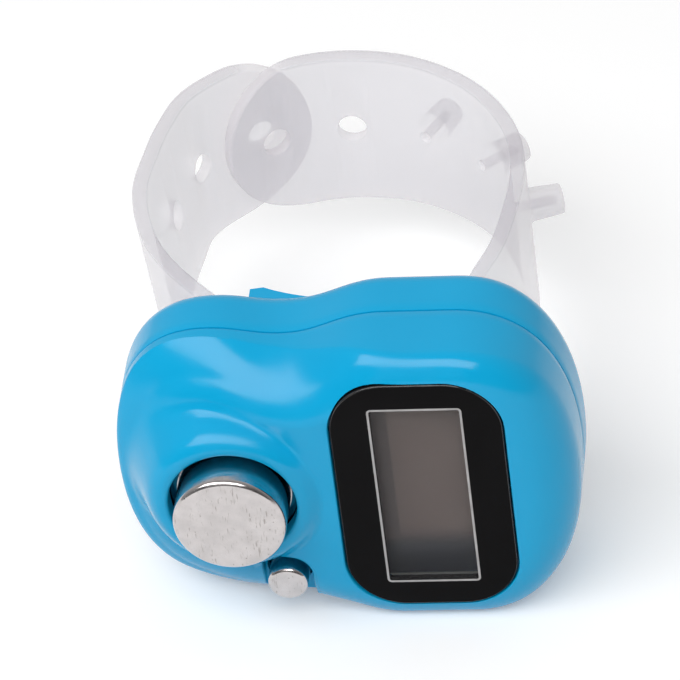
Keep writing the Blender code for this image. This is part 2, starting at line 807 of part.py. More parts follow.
def smooth_curve(points, steps):
    # A Catmull-Rom curve through the points
    curve = []
    padded = [points[0] * 2 - points[1]] + points + [points[-1] * 2 - points[-2]]
    for before, start, end, after in zip(padded, padded[1:], padded[2:], padded[3:]):
        for step in range(steps):
            t = step / steps
            curve.append(0.5 * (2 * start + (end - before) * t
                                + (2 * before - 5 * start + 4 * end - after) * t * t
                                + (3 * start - before - 3 * end + after) * t ** 3))
    curve.append(points[-1])
    return curve


class Route:
    def __init__(self, points):
        self.points = points
        self.lengths = [0.0]
        for near, far in zip(points, points[1:]):
            self.lengths.append(self.lengths[-1] + (far - near).length)
        self.total = self.lengths[-1]

    def frame(self, distance):
        # The place, direction and outward normal at a distance along the route
        distance = min(max(distance, 0.0), self.total)
        index = 0
        while index < len(self.lengths) - 2 and self.lengths[index + 1] < distance:
            index += 1
        near = self.points[index]
        far = self.points[index + 1]
        share = (distance - self.lengths[index]) / (self.lengths[index + 1] - self.lengths[index])
        ahead = self.points[min(index + 2, len(self.points) - 1)]
        behind = self.points[max(index - 1, 0)]
        along = ((far - behind) * (1 - share) + (ahead - near) * share).normalized()
        return near.lerp(far, share), along, Vector((along.y, -along.x))


def flat_strap(length):
    # Built flat: x runs along the strap, +y is its outer side, z across it
    half = strap_width / 2
    ends = [arc_point((length - half, 0), half, (step / 16 - 0.5) * math.pi)
            for step in range(17)]
    ends += [arc_point((half, 0), half, (step / 16 + 0.5) * math.pi) for step in range(17)]
    strap = prism("strap", ends, -strap_thickness / 2, strap_thickness / 2, parts,
                  strap_plastic)
    places = [hole_inset + index * hole_pitch for index in range(holes_on_outer_run)]
    places += [length - hole_inset - index * hole_pitch for index in range(holes_on_inner_run)]
    for number, place in enumerate(places):
        change(strap, rod("strap_hole_%d" % number, (place, 0), hole_radius, -strap_thickness,
                          strap_thickness, cutters, sides=16), "DIFFERENCE")
    pegs = []
    for index in range(pegs_on_inner_run):
        place = length - hole_inset - (holes_on_inner_run + index) * hole_pitch
        pegs.append(place)
        change(strap, rod("peg_%d" % index, (place, 0), peg_base_radius, 0,
                          strap_thickness / 2 + peg_length, cutters, sides=16,
                          back_radius=peg_tip_radius), "UNION")
        change(strap, rod("peg_core_%d" % index, (place, 0), peg_core_radius, -strap_thickness,
                          peg_length, cutters, sides=8), "DIFFERENCE")
    bake(strap)
    return strap, pegs


def make_strap():
    route = Route(smooth_curve(strap_route(), 10))
    strap, pegs = flat_strap(route.total)
    working = bmesh.new()
    working.from_mesh(strap.data)
    rows = round(route.total / strap_row)
    for index in range(1, rows):
        place = route.total * index / rows
        if min(abs(place - peg) for peg in pegs) < peg_base_radius:
            continue
        bmesh.ops.bisect_plane(working, geom=working.verts[:] + working.edges[:] + working.faces[:],
                               plane_co=(place, 0, 0), plane_no=(1, 0, 0))
    for vertex in working.verts:
        along, out, across = vertex.co
        root = along
        near = min(pegs, key=lambda peg: abs(peg - along))
        if abs(near - along) <= peg_base_radius * 1.01 and math.hypot(near - along, across) < peg_base_radius * 1.01:
            root = near
        place, forward, outward = route.frame(root)
        flat = place + forward * (along - root) + outward * out
        vertex.co = Vector((flat.x, flat.y, across))
    # The route's outward side mirrors the band, so its faces are turned over
    bmesh.ops.reverse_faces(working, faces=working.faces)
    working.to_mesh(strap.data)
    working.free()


def stand_on_origin():
    # The origin goes under the middle of the object's box
    bpy.context.view_layer.update()
    graph = bpy.context.evaluated_depsgraph_get()
    corners = []
    for thing in parts.objects:
        solid = thing.evaluated_get(graph)
        corners += [thing.matrix_world @ Vector(corner) for corner in solid.bound_box]
    low = [min(corner[axis] for corner in corners) for axis in range(3)]
    high = [max(corner[axis] for corner in corners) for axis in range(3)]
    base = bpy.data.objects.new("counter_origin", None)
    bpy.context.scene.collection.objects.link(base)
    base.location = (-(low[0] + high[0]) / 2, -(low[1] + high[1]) / 2, -low[2])
    for thing in list(parts.objects) + list(cutters.objects):
        thing.parent = base


make_front_shell()
make_back_shell()
make_display()
make_board()
make_count_button()
make_reset_button()
make_battery()
make_screws()
make_strap()
stand_on_origin()
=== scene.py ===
import bisect
import math

import bmesh
import bpy
from mathutils import Matrix, Vector


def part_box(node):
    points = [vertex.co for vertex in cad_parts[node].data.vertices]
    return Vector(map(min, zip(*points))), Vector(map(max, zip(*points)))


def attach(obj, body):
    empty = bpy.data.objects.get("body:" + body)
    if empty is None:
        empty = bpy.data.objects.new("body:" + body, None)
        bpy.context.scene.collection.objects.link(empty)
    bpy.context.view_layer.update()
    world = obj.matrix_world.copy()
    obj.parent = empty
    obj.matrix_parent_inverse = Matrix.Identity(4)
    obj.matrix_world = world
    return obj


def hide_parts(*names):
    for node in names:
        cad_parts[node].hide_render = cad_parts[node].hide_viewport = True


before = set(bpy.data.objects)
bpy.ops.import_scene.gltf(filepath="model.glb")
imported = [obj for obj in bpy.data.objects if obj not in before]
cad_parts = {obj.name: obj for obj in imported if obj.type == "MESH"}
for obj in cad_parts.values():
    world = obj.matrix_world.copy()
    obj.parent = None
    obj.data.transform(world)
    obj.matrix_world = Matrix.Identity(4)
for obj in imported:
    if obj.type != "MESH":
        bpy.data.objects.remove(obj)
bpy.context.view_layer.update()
print("frame loaded:", len(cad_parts), "solids")

# Shapes below are in millimetres from the middle of the display: x to the right, y backwards
# from the front face, z up. toWorld puts them where the solids stand.
mm = 0.001
case = dict(
    rightEnd=12.8, leftEnd=26.2, displayHalf=14.0, buttonHalf=12.7, waistHalf=12.0,
    buttonTopX=-17.5, waistX=-11.5, flatRight=3.0, flatLeft=-2.5,
    depth=13.3, frontEnd=7.31, backStart=7.45, wall=1.3, edge=0.12, lipInset=0.75,
    lipHeight=1.1, lipGap=0.3, window=(9.0, 19.6, 0.6), windowDepths=(0.5, 3.5),
    lobeDrop=3.2, dropStart=-7.6, dropEnd=-22.0,
    frontSide=(3.6, 2.1), frontEnds=(4.2, 4.2), frontLobe=(5.2, 3.2),
    slantReach=4.6, slantFall=5.4, slantPower=2.0, slantStart=0.0, slantEnd=-13.0,
    backSide=(2.3, 2.3), backEnds=(3.0, 3.0), backLobe=(2.65, 2.65), spine=(-17.0, 4.0),
    columns=300,
)
# pocketLevels: (depth, how far the pocket widens there)
plate = dict(width=14.4, height=23.8, corner=4.8, front=0.15, back=0.85, edge=0.16, room=0.12,
             pocketLevels=((-1.0, 0.14), (0.0, 0.14), (0.03, 0.06), (0.1, 0.015), (0.2, 0.0),
                           (1.1, 0.0)))
plateLow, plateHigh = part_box("faceplate")
origin = (plateLow + plateHigh) / (2 * mm)
origin.y = plateLow.y / mm - plate["front"]


def toWorld(x, y, z):
    return (origin + Vector((x, y, z))) * mm


# Working habits

def deselect():
    if bpy.context.mode != "OBJECT":
        bpy.ops.object.mode_set(mode="OBJECT")
    bpy.ops.object.select_all(action="DESELECT")


def dress(piece, body, material, node=None):
    # Hides the solid the piece stands for, hangs the piece on the body it rides on, and gives it
    # its material
    if node:
        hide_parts(node)
    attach(piece, body)
    piece.data.materials.clear()
    piece.data.materials.append(material)


def pick(thing):
    deselect()
    thing.select_set(True)
    bpy.context.view_layer.objects.active = thing


def tidyMesh(thing, merge=0.000002):
    # Closes seams and poles, then turns the faces outwards
    pick(thing)
    bpy.ops.object.mode_set(mode="EDIT")
    bpy.ops.mesh.select_all(action="SELECT")
    bpy.ops.mesh.remove_doubles(threshold=merge)
    bpy.ops.mesh.dissolve_degenerate(threshold=merge)
    bpy.ops.mesh.normals_make_consistent(inside=False)
    bpy.ops.object.mode_set(mode="OBJECT")


def wrapGrid(name, rows):
    # A flat grid is added, and its points are carried to the rows of places, one by one
    columns = len(rows[0])
    deselect()
    bpy.ops.mesh.primitive_grid_add(x_subdivisions=columns, y_subdivisions=len(rows) - 1, size=1)
    piece = bpy.context.active_object
    piece.name = name
    for vertex in piece.data.vertices:
        column = round((vertex.co.x + 0.5) * columns) % columns
        row = round((vertex.co.y + 0.5) * (len(rows) - 1))
        vertex.co = toWorld(*rows[row][column])
    tidyMesh(piece)
    return piece


def smoothTop(thing, degrees):
    pick(thing)
    bpy.ops.object.shade_smooth_by_angle(angle=math.radians(degrees))


def closedGrid(name, rows):
    # A wrapped grid with its open ends filled
    piece = wrapGrid(name, rows)
    pick(piece)
    bpy.ops.object.mode_set(mode="EDIT")
    bpy.ops.mesh.select_mode(type="EDGE")
    bpy.ops.mesh.select_all(action="DESELECT")
    bpy.ops.mesh.select_non_manifold()
    bpy.ops.mesh.edge_face_add()
    bpy.ops.mesh.select_all(action="SELECT")
    bpy.ops.mesh.normals_make_consistent(inside=False)
    bpy.ops.object.mode_set(mode="OBJECT")
    return piece


def cut(thing, name, rows, operation="DIFFERENCE"):
    # Cuts a closed grid out of the piece, or joins it on
    tool = closedGrid(name, rows)
    modifier = thing.modifiers.new("cut", "BOOLEAN")
    modifier.operation = operation
    modifier.solver = "EXACT"
    modifier.object = tool
    pick(thing)
    bpy.ops.object.modifier_apply(modifier=modifier.name)
    bpy.data.objects.remove(tool, do_unlink=True)


def prismRows(outline, levels):
    # levels: (depth, how far the outline grows there)
    sides = outlineSides(outline)
    return [[(x + nx * grow, depth, z + nz * grow) for (x, z), (nx, nz) in zip(outline, sides)]
            for depth, grow in levels]


def outlineSides(outline):
    sides = []
    for index, here in enumerate(outline):
        before = outline[index - 1]
        after = outline[(index + 1) % len(outline)]
        along = Vector((after[0] - before[0], after[1] - before[1])).normalized()
        sides.append((along.y, -along.x))
    return sides


def roundedRectangle(width, height, corner, steps=12):
    outline = []
    for quarter in range(4):
        cx = (width / 2 - corner) * (1 if quarter in (0, 3) else -1)
        cz = (height / 2 - corner) * (1 if quarter in (0, 1) else -1)
        for step in range(steps + 1):
            turn = (quarter + step / steps) * math.pi / 2
            outline.append((cx + corner * math.cos(turn), cz + corner * math.sin(turn)))
    return outline


def turnedRows(place, profile, sides=96):
    # Rows for a turned piece about the y axis, from (radius, depth) points
    turns = [2 * math.pi * step / sides for step in range(sides)]
    return [[(place[0] + radius * math.cos(turn), depth, place[1] + radius * math.sin(turn))
             for turn in turns] for radius, depth in profile]


def quarterTurns(steps):
    # Angles from 0 to 90 degrees, for a rounded edge
    return [step / steps * math.pi / 2 for step in range(steps + 1)]


def smoothStep(value, start, end):
    share = min(max((value - start) / (end - start), 0.0), 1.0)
    return share * share * (3 - 2 * share)


def softMin(a, b, soft):
    mix = max(soft - abs(a - b), 0.0) / soft
    return min(a, b) - mix * mix * soft / 4


# The camera stands where the photograph's did

def setCamera():
    shot = dict(elevation=39.0, azimuth=9.85, roll=-7.61, distance=532.0, focal=6544.0,
                target=(-5.24, 0.0, 17.08), frame=680.0, sensor=36.0)
    rise = math.radians(shot["elevation"])
    around = math.radians(shot["azimuth"])
    ahead = Vector((-math.sin(around) * math.cos(rise), math.cos(around) * math.cos(rise),
                    -math.sin(rise)))
    right = ahead.cross(Vector((0, 0, 1))).normalized()
    up = right.cross(ahead)
    roll = math.radians(shot["roll"])
    right, up = (right * math.cos(roll) + up * math.sin(roll),
                 up * math.cos(roll) - right * math.sin(roll))
    data = bpy.data.cameras.new("photoCamera")
    data.sensor_width = shot["sensor"]
    data.lens = shot["focal"] * shot["sensor"] / shot["frame"]
    data.clip_start = 0.01
    data.clip_end = 20
    camera = bpy.data.objects.new("photoCamera", data)
    bpy.context.scene.collection.objects.link(camera)
    turned = Matrix((right, up, -ahead)).transposed().to_4x4()
    turned.translation = toWorld(*shot["target"]) - ahead * shot["distance"] * mm
    camera.matrix_world = turned
    bpy.context.scene.camera = camera


# Case outline

def bezier(a, b, c, d, steps):
    points = []
    for step in range(steps):
        t = step / steps
        u = 1 - t
        points.append(tuple(
            u ** 3 * a[n] + 3 * u * u * t * b[n] + 3 * u * t * t * c[n] + t ** 3 * d[n]
            for n in (0, 1)))
    return points


def fineOutline():
    # The upper half in five curves from right to left, then its mirror image
    top, lobe = case["displayHalf"], case["buttonHalf"]
    right, left = case["rightEnd"], -case["leftEnd"]
    flatRight, flatLeft, lobeX = case["flatRight"], case["flatLeft"], case["buttonTopX"]
    waistX, waist = case["waistX"], case["waistHalf"]
    upper = bezier((right, 0), (right, 0.62 * top), (right - 3.4, top), (flatRight, top), 200)
    upper += bezier((flatRight, top), (1.2, top), (-0.7, top), (flatLeft, top), 30)
    upper += bezier((flatLeft, top), (flatLeft - 4.2, top), (waistX + 3.6, waist), (waistX, waist),
                    120)
    upper += bezier((waistX, waist), (waistX - 2.4, waist), (lobeX + 2.6, lobe), (lobeX, lobe), 80)
    upper += bezier((lobeX, lobe), (lobeX - 5.3, lobe), (left, 0.7 * lobe), (left, 0), 200)
    upper.append((left, 0))
    return upper + [(x, -z) for x, z in reversed(upper[1:-1])]


def spreadOutline(centre, columns):
    # Spaced partly by length and partly by the angle seen from the count button
    fine = fineOutline()
    count = len(fine)
    spans = []
    for index, here in enumerate(fine):
        after = fine[(index + 1) % count]
        length = math.dist(here, after)
        swing = math.atan2(after[1] - centre[1], after[0] - centre[0])
        swing -= math.atan2(here[1] - centre[1], here[0] - centre[0])
        spans.append((length, abs((swing + math.pi) % (2 * math.pi) - math.pi)))
    wholeLength = sum(span[0] for span in spans)
    wholeAngle = sum(span[1] for span in spans)
    measure = [0.0]
    for length, swing in spans:
        measure.append(measure[-1] + 0.5 * length / wholeLength + 0.5 * swing / wholeAngle)
    points = []
    index = 0
    for column in range(columns):
        wanted = column / columns
        while measure[index + 1] < wanted:
            index += 1
        share = (wanted - measure[index]) / (measure[index + 1] - measure[index])
        here = fine[index]
        after = fine[(index + 1) % count]
        points.append((here[0] + (after[0] - here[0]) * share,
                       here[1] + (after[1] - here[1]) * share))
    return points


collar = dict(x=-16.0, z=0.0, bore=5.4, rimEdge=0.3, front=-0.7, rim=5.8, base=7.8, fall=3.6,
              flare=0.76, soft=1.0, step=1.0, flangeRoom=6.25, back=5.0, backRadius=7.1, gap=0.6,
              blend=0.2)
countCentre = (collar["x"], collar["z"])
outline = spreadOutline(countCentre, case["columns"])
places = list(zip(outline, outlineSides(outline)))


def lobeShare(x):
    return smoothStep(-x, -case["dropStart"], -case["dropEnd"])


def dropAt(x):
    return case["lobeDrop"] * lobeShare(x)


def lowered(x, depth):
    height = case["frontEnd"] - depth
    return depth + dropAt(x) * min(max(height, 0) / (case["frontEnd"] - case["wall"]), 1.0)


def collarDepth(radius):
    spread = collar["base"] - collar["rim"]
    share = (radius - collar["rim"]) / spread
    if share <= 0:
        return collar["front"]
    foot = min(share, collar["flare"])
    level = math.sqrt(1 - foot * foot)
    slope = collar["fall"] * foot / level
    return collar["front"] + collar["fall"] * (1 - level) + slope * (share - foot)


def withCollar(x, z, depth):
    radius = math.dist((x, z), countCentre)
    return softMin(depth, collarDepth(radius), collar["soft"])


def softness(x, nx, side):
    # How far the rounded edge reaches inwards, and how far it falls, at a place on the outline
    flank, ends, lobe = case[side + "Side"], case[side + "Ends"], case[side + "Lobe"]
    toLobe = lobeShare(x)
    toEnd = nx * nx * (1 - toLobe)
    return tuple(flank[n] + (ends[n] - flank[n]) * toEnd + (lobe[n] - flank[n]) * toLobe
                 for n in (0, 1))


def roundDepth(inset, place, side, less=0.0):
    # How far the rounded edge lies behind the front at an inset from a place on the outline.
    # Along the top of the button end the flank slants forward before it turns over.
    (x, _), (nx, nz) = place
    reach, fall = (size - less for size in softness(x, nx, side))
    share = max(1 - max(inset, 0.0) / reach, 0.0)
    depth = fall * (1 - math.sqrt(1 - share * share))
    if side == "front":
        left = max(1 - max(inset, 0.0) / (case["slantReach"] - less), 0.0)
        slanted = (case["slantFall"] - less) * left ** case["slantPower"]
        depth += (slanted - depth) * slantShare(x, nz)
    return depth


def slantShare(x, nz):
    return smoothStep(-x, -case["slantStart"], -case["slantEnd"]) * smoothStep(nz, -0.1, 0.7)


def roundReach(place):
    (x, _), (nx, nz) = place
    reach = softness(x, nx, "front")[0]
    return reach + (case["slantReach"] - reach) * slantShare(x, nz)


def insetRow(inset, depth):
    return [(x - nx * inset, depth, z - nz * inset) for (x, z), (nx, nz) in places]


def partingRows():
    # The lip that enters the back, and the fine edge of the parting
    end = case["frontEnd"]
    lip = end + case["lipHeight"]
    edge = case["edge"]
    return [insetRow(case["wall"], lip), insetRow(case["lipInset"], lip),
            insetRow(case["lipInset"], end), insetRow(edge, end),
            insetRow(0.3 * edge, end - 0.3 * edge), insetRow(0, end - edge)]


def flankRows():
    rows = []
    for share in (0.15, 0.4, 0.7):
        row = []
        for place in places:
            x, z = place[0]
            depth = case["frontEnd"] - case["edge"]
            depth += (roundDepth(0, place, "front") - depth) * share
            row.append((x, lowered(x, depth), z))
        rows.append(row)
    return rows


def shoulderRows(rim):
    # Over the rounded edge, which keeps clear of the collar
    rows = []
    for turn in quarterTurns(20):
        row = []
        for place in places:
            (x, z), (nx, nz) = place
            room = math.dist((x, z), countCentre) - rim - collar["gap"]
            inset = min(roundReach(place), room) * (1 - math.cos(turn))
            px = x - nx * inset
            pz = z - nz * inset
            depth = roundDepth(inset, place, "front")
            row.append((px, withCollar(px, pz, lowered(px, depth)), pz))
        rows.append(row)
    return rows


def acrossRows(rim, edgeRow, steps=76):
    # Across the front to the rim of the count button's bore
    rows = []
    for step in range(1, steps + 1):
        t = step / steps
        row = []
        for place, (ex, _, ez) in zip(places, edgeRow):
            (x, z), (nx, nz) = place
            swing = math.atan2(z, x - collar["x"])
            px = ex + (collar["x"] + rim * math.cos(swing) - ex) * t
            pz = ez + (collar["z"] + rim * math.sin(swing) - ez) * t
            depth = roundDepth((x - px) * nx + (z - pz) * nz, place, "front")
            row.append((px, withCollar(px, pz, lowered(px, depth)), pz))
        rows.append(row)
    return rows


def collarRing(radius, depth):
    swings = [math.atan2(z, x - collar["x"]) for x, z in outline]
    return [(collar["x"] + radius * math.cos(swing), depth,
             collar["z"] + radius * math.sin(swing)) for swing in swings]


def boreRows(rim):
    # Over the rim, down the bore and out round the button's flange
    edge = collar["rimEdge"]
    rows = [collarRing(rim - edge * math.sin(turn), collar["front"] + edge * (1 - math.cos(turn)))
            for turn in quarterTurns(5)[1:]]
    rows += [collarRing(collar["bore"], depth) for depth in (0.0, 0.5, collar["step"])]
    rows += [collarRing(collar["flangeRoom"], collar[depth]) for depth in ("step", "back")]
    rows.append(collarRing(collar["backRadius"], collar["back"]))
    innerRing = collarRing(collar["backRadius"], 0)
    rows.append([(x, dropAt(x) + case["wall"] + collar["blend"], z) for x, _, z in innerRing])
    return rows


def innerRows(startRow):
    # The inner side, from the collar to the parting
    wall = case["wall"]
    edgeRows = []
    for turn in reversed(quarterTurns(6)):
        row = []
        for place in places:
            (x, z), (nx, nz) = place
            room = math.dist((x, z), countCentre) - wall - collar["backRadius"] - collar["blend"]
            inset = min(roundReach(place) - wall, room) * (1 - math.cos(turn))
            px = x - nx * (wall + inset)
            depth = wall + roundDepth(inset, place, "front", wall)
            row.append((px, lowered(px, depth), z - nz * (wall + inset)))
        edgeRows.append(row)
    rows = []
    for step in range(1, 8):
        t = step / 8
        row = []
        for start, end in zip(startRow, edgeRows[0]):
            px = start[0] + (end[0] - start[0]) * t
            depth = dropAt(px) + wall
            row.append((px, depth + max(end[1] - dropAt(end[0]) - wall, 0.0) * t,
                        start[2] + (end[2] - start[2]) * t))
        rows.append(row)
    return rows + edgeRows


def frontRows():
    rim = collar["bore"] + collar["rimEdge"]
    rows = partingRows() + flankRows() + shoulderRows(rim)
    rows += acrossRows(rim, rows[-1])
    rows += boreRows(rim)
    rows += innerRows(rows[-1])
    return rows + [rows[0]]


def surfaceDepth(x, z):
    # Depth of the front surface at a place, with its rounding towards the outline
    place = min(places, key=lambda near: math.dist(near[0], (x, z)))
    (ox, oz), (nx, nz) = place
    depth = roundDepth((ox - x) * nx + (oz - z) * nz, place, "front")
    return withCollar(x, z, lowered(x, depth))


recess = dict(x=-12.4, width=4.3, corner=1.5, top=-7.15, low=-14.0, floor=2.6, edge=0.3, foot=0.4,
              edgeRoom=0.4, buttonZ=-9.4, bore=1.95, boreFront=1.5, boreBack=5.2, guideZ=-8.8,
              guideWidth=6.1, guideHeight=4.8, guideCorner=1.2, guideFront=0.5, guideBack=3.5)


def recessOutline():
    half = recess["width"] / 2
    low = recess["low"]
    bend = recess["top"] - recess["corner"]
    points = [(recess["x"] + half - recess["corner"] * (1 - math.cos(turn)),
               recess["top"] - recess["corner"] * (1 - math.sin(turn)))
              for turn in quarterTurns(12)]
    points += [(2 * recess["x"] - x, z) for x, z in reversed(points)]
    side = [low + (bend - low) * step / 8 for step in range(8)]
    return ([(recess["x"] + half, z) for z in side] + points
            + [(recess["x"] - half, z) for z in reversed(side)])


def recessRows():
    shape = recessOutline()
    sides = outlineSides(shape)
    edge = recess["edge"]
    foot = recess["foot"]
    lowest = -case["waistHalf"] + recess["edgeRoom"]
    levels = [(-3.0, edge * 1.6), (-0.12, edge * 1.3)]
    levels += [(edge * (1 - math.cos(turn)), edge * (1 - math.sin(turn)))
               for turn in quarterTurns(4)]
    rows = [[(x + nx * grow, surfaceDepth(x, max(z, lowest)) + level, z + nz * grow)
             for (x, z), (nx, nz) in zip(shape, sides)] for level, grow in levels]
    rows.append([(x, recess["floor"] - foot, z) for x, z in shape])
    for turn in quarterTurns(4)[1:]:
        inset = foot * (1 - math.cos(turn))
        depth = recess["floor"] - foot * (1 - math.sin(turn))
        rows.append([(x - nx * inset, depth, z) for (x, z), (nx, _) in zip(shape, sides)])
    return rows


def guideRows():
    # The block behind the recess, which guides the reset button
    block = roundedRectangle(recess["guideWidth"], recess["guideHeight"], recess["guideCorner"], 6)
    shape = [(recess["x"] + x, recess["guideZ"] + z) for x, z in block]
    front = [(x, surfaceDepth(x, z) + recess["guideFront"], z) for x, z in shape]
    return [front, [(x, recess["guideBack"], z) for x, z in shape]]


def makeFront():
    piece = wrapGrid("frontCase", frontRows())
    cut(piece, "guideBlock", guideRows(), "UNION")
    pocket = roundedRectangle(plate["width"] + 2 * plate["room"],
                              plate["height"] + 2 * plate["room"],
                              plate["corner"] + plate["room"], 16)
    cut(piece, "pocketTool", prismRows(pocket, plate["pocketLevels"]))
    opening = roundedRectangle(*case["window"], 6)
    cut(piece, "windowTool", prismRows(opening, [(depth, 0.0) for depth in case["windowDepths"]]))
    cut(piece, "recessTool", recessRows())
    bore = [(recess["bore"], recess["boreFront"]), (recess["bore"], recess["boreBack"])]
    cut(piece, "boreTool", turnedRows((recess["x"], recess["buttonZ"]), bore))
    smoothTop(piece, 32)
    dress(piece, "case", caseBlue, "front_shell")
    print("front of the case made:", len(piece.data.polygons), "faces")


# Back of the case with the strap's bridge. mouth: (radius, depth past the back)
screws = dict(places=((-18.0, 8.75), (7.5, -7.8)), sleeve=1.95, sleeveFront=8.4, sleeveBack=0.6,
              bore=1.0, boreFront=6.0, headHeight=1.25, head=1.55,
              mouth=((1.55, -0.15), (1.6, -0.04), (1.75, 0.02), (1.75, 1.0)))
bridge = dict(x=-6.4, lowDepth=13.6, radius=17.5, bar=1.1, floor=1.1, half=8.1, pillar=1.6,
              clearance=0.3, sideRoom=0.5, edge=0.5)
# holeEdge: (how much wider the hole is, how far past the strap's face)
strap = dict(width=15.8, thickness=1.3, lap=0.4, edge=0.28, holeRadius=1.3, holeInset=4.8,
             holePitch=7.2, outerHoles=3, innerHoles=2, pegs=3, pegBase=1.5, pegTip=1.35, lean=1.4,
             pegFoot=0.3, pegEdge=0.25, pegLength=3.1, core=0.45, ringX=-10.2, ringY=33.35,
             halfWidth=16.4, halfDepth=17.6, bendStep=0.5,
             holeEdge=((0.35, 0.3), (0.22, 0.0), (0.07, -0.07), (0.0, -0.22)))
saddleCentre = bridge["lowDepth"] + bridge["radius"]
slotNear = bridge["radius"] + bridge["bar"]
slotFar = slotNear + strap["thickness"] + 2 * bridge["clearance"]
strapLine = slotNear + bridge["clearance"] + strap["thickness"] / 2


def backPartingRows():
    # The rebate that takes the front's lip, the fine edge of the parting and the flank
    start = case["backStart"]
    rebate = start + case["lipHeight"] + case["lipGap"]
    edge = case["edge"]
    inner = case["lipInset"] - case["lipGap"]
    rows = [insetRow(case["wall"], rebate), insetRow(inner, rebate), insetRow(inner, start),
            insetRow(edge, start), insetRow(0.3 * edge, start + 0.3 * edge),
            insetRow(0, start + edge)]
    for share in (0.3, 0.7):
        row = []
        for (x, z), (nx, _) in places:
            fall = softness(x, nx, "back")[1]
            row.append((x, start + edge + (case["depth"] - fall - (start + edge)) * share, z))
        rows.append(row)
    return rows


def backEdgeRows(start, count):
    # Over the rounded edge to the flat back, for the skin or, from an inset, for its inner side
    rows = []
    for turn in quarterTurns(count):
        row = []
        for (x, z), (nx, nz) in places:
            reach, fall = (size - start for size in softness(x, nx, "back"))
            inset = start + reach * (1 - math.cos(turn))
            row.append((x - nx * inset, case["depth"] - start - fall * (1 - math.sin(turn)),
                        z - nz * inset))
        rows.append(row)
    return rows


def flatBack(edgeRow, depth, outwards=False):
    # Rows from the edge to a spine along the middle, or from the spine out to the edge
    low, high = case["spine"]
    first = edgeRow
    last = [(min(max(x, low), high), depth, 0.0) for x, z in outline]
    if outwards:
        first, last = last, first
    return [[(a[0] + (b[0] - a[0]) * t, depth, a[2] + (b[2] - a[2]) * t)
             for a, b in zip(first, last)] for t in [step / 12 for step in range(13)]]


def archRows(near, far, half, width, edge):
    # A band between two arcs about the saddle's axis, wide along z, with rounded long edges
    steps = 40
    section = []
    for radius, order in ((near, range(steps + 1)), (far, range(steps, -1, -1))):
        for step in order:
            x = half * (2 * step / steps - 1)
            section.append((bridge["x"] + x, saddleCentre - math.sqrt(radius * radius - x * x)))
    sides = outlineSides(section)
    levels = [(-width, -edge)]
    if edge:
        levels += [(-width + edge * (1 - math.cos(turn)), -edge * (1 - math.sin(turn)))
                   for turn in quarterTurns(5)[1:]]
        levels.append((-width * 0.5, 0.0))
    levels += [(-level, grow) for level, grow in reversed(levels)]
    return [[(x + nx * grow, y + ny * grow, z) for (x, y), (nx, ny) in zip(section, sides)]
            for z, grow in levels]


def makeBack():
    depth = case["depth"]
    outerEdge = backEdgeRows(0, 16)
    innerEdge = backEdgeRows(case["wall"], 6)[::-1]
    lid = flatBack(innerEdge[0], depth - case["wall"], outwards=True)
    piece = wrapGrid("backCase", lid + innerEdge[1:] + backPartingRows() + outerEdge
                     + flatBack(outerEdge[-1], depth)[1:])
    half = strap["width"] / 2 + bridge["sideRoom"]
    cut(piece, "bridgeBlock", archRows(bridge["radius"], slotFar + bridge["floor"], bridge["half"],
                                       half + bridge["pillar"], bridge["edge"]), "UNION")
    sleeve = [(screws["sleeve"], screws["sleeveFront"]),
              (screws["sleeve"], depth - screws["sleeveBack"])]
    for place in screws["places"]:
        cut(piece, "sleeve", turnedRows(place, sleeve, 48), "UNION")
    cut(piece, "slotTool", archRows(slotNear, slotFar, bridge["half"] + 3, half, 0))
    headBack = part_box("case_screw_left")[1].y / mm - origin.y
    seat = headBack - screws["headHeight"]
    bore = [(screws["bore"], screws["boreFront"]), (screws["bore"], seat), (screws["head"], seat)]
    bore += [(radius, depth + past) for radius, past in screws["mouth"]]
    for place in screws["places"]:
        cut(piece, "screwTool", turnedRows(place, bore, 48))
    smoothTop(piece, 32)
    dress(piece, "case", caseBlue, "back_shell")
    print("back of the case made:", len(piece.data.polygons), "faces")


# Strap, made flat with its holes and pegs, then bent along its route

def ringPoint(degrees, layer, lean=0.0):
    # The third value is how far the strap's lower edge leans inwards there
    turn = math.radians(degrees)
    out = layer * (strap["thickness"] + strap["lap"])
    return Vector((strap["ringX"] + (strap["halfWidth"] + out) * math.cos(turn),
                   strap["ringY"] + (strap["halfDepth"] + out) * math.sin(turn),
                   lean * strap["lean"]))


def saddlePoint(offset):
    depth = saddleCentre - math.sqrt(strapLine ** 2 - offset ** 2)
    return Vector((bridge["x"] + offset, depth, 0.0))


def strapPoints():
    outerRun = [ringPoint(103, 1), ringPoint(114, 1), ringPoint(127, 1, 0.1),
                ringPoint(140, 0.95, 0.35), ringPoint(152, 0.45, 0.8), ringPoint(165, 0.05, 1),
                ringPoint(184, 0, 1), ringPoint(207, 0, 0.7), ringPoint(230, 0.2, 0.2)]
    under = [saddlePoint(offset * bridge["half"] / 4) for offset in (-4, -2, 0, 2, 4)]
    mouth = under[-1]
    rise = Vector((strap["halfWidth"], strap["halfDepth"], 0.0))
    innerRun = [mouth + rise * Vector((0.09, 0.1, 0.0)), mouth + rise * Vector((0.12, 0.34, 0.0)),
                mouth + rise * Vector((0.22, 0.65, 0.0)), ringPoint(0, 0)]
    innerRun += [ringPoint(degrees, 0) for degrees in (22, 45, 68, 90, 110, 132)]
    return outerRun + under + innerRun


def smoothRoute(points, steps):
    curve = []
    padded = [points[0] * 2 - points[1]] + points + [points[-1] * 2 - points[-2]]
    for before, start, end, after in zip(padded, padded[1:], padded[2:], padded[3:]):
        for step in range(steps):
            t = step / steps
            curve.append(0.5 * (2 * start + (end - before) * t
                                + (2 * before - 5 * start + 4 * end - after) * t * t
                                + (3 * start - before - 3 * end + after) * t ** 3))
    curve.append(points[-1])
    return curve


